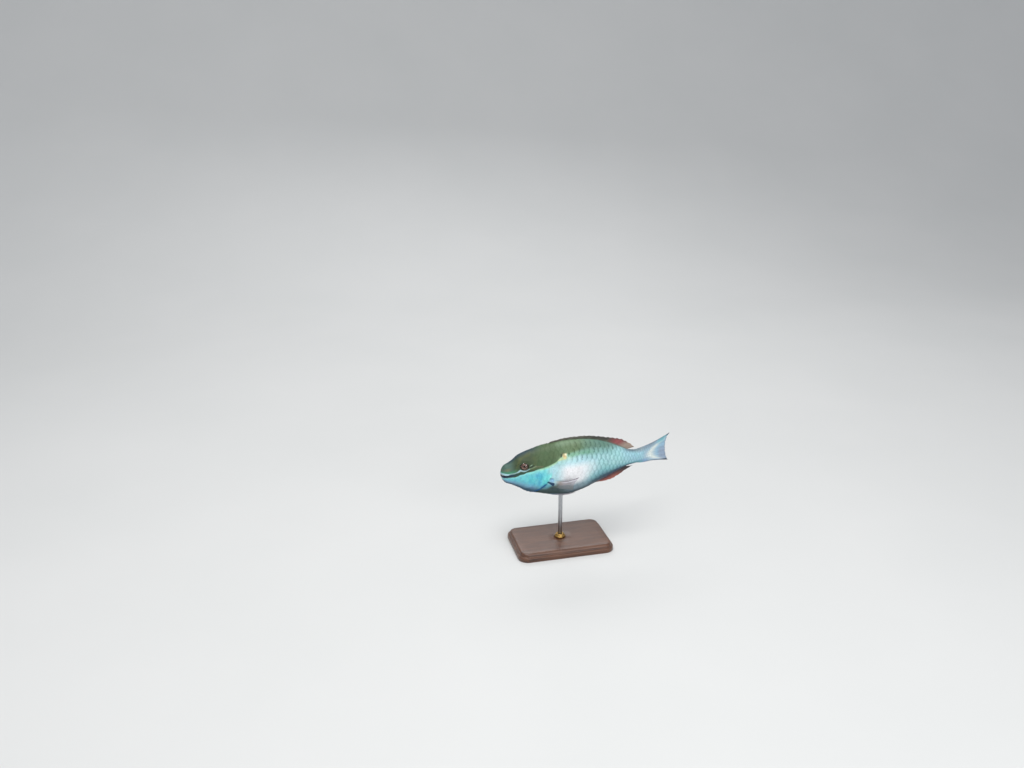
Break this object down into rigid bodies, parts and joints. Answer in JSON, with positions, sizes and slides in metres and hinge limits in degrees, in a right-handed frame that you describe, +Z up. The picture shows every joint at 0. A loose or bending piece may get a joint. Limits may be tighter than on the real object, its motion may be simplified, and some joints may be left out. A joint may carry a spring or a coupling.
{
  "type": "parrotfish model",
  "caption": "Life-size swimming parrotfish on a rod and wooden base: deep scaled body, beaked mouth, folded dorsal and anal fins, tail swung aside.",
  "frame": {"origin": "middle of the underside of the stand base, straight below the rod that holds the fish", "axes": "+X from the head towards the tail, -Y the side the left flank faces, +Z up"},
  "size_m": [0.2206, 0.074, 0.1401],
  "materials": {
    "skin": "satin scaly skin: olive green back, turquoise cheeks, near-white to pale blue flank",
    "eye": "glossy, red-brown iris round a black pupil",
    "beak": "satin cream tooth plates",
    "dorsal_fin": "satin, olive brown in front and brick red behind",
    "anal_fin": "satin brick red",
    "tail_fin": "satin pale blue with black corners",
    "pectoral_fin": "thin and grey-mauve with a dark front edge",
    "pelvic_fin": "satin pale reddish",
    "stand_wood": "satin varnish on dark wood",
    "stand_steel": "brushed",
    "stand_brass": "satin"
  },
  "bodies": {
    "root": {"head": "skin", "trunk": "skin", "tail_stalk": "skin", "eye_left": "eye", "eye_right": "eye", "beak_upper": "beak", "beak_lower": "beak", "dorsal_fin": "dorsal_fin", "anal_fin": "anal_fin", "tail_fin": "tail_fin", "pectoral_fin_left": "pectoral_fin", "pectoral_fin_right": "pectoral_fin", "pelvic_fin_left": "pelvic_fin", "pelvic_fin_right": "pelvic_fin", "stand_base": "stand_wood", "stand_rod": "stand_steel", "stand_collar": "stand_brass"}
  },
  "joints": []
}
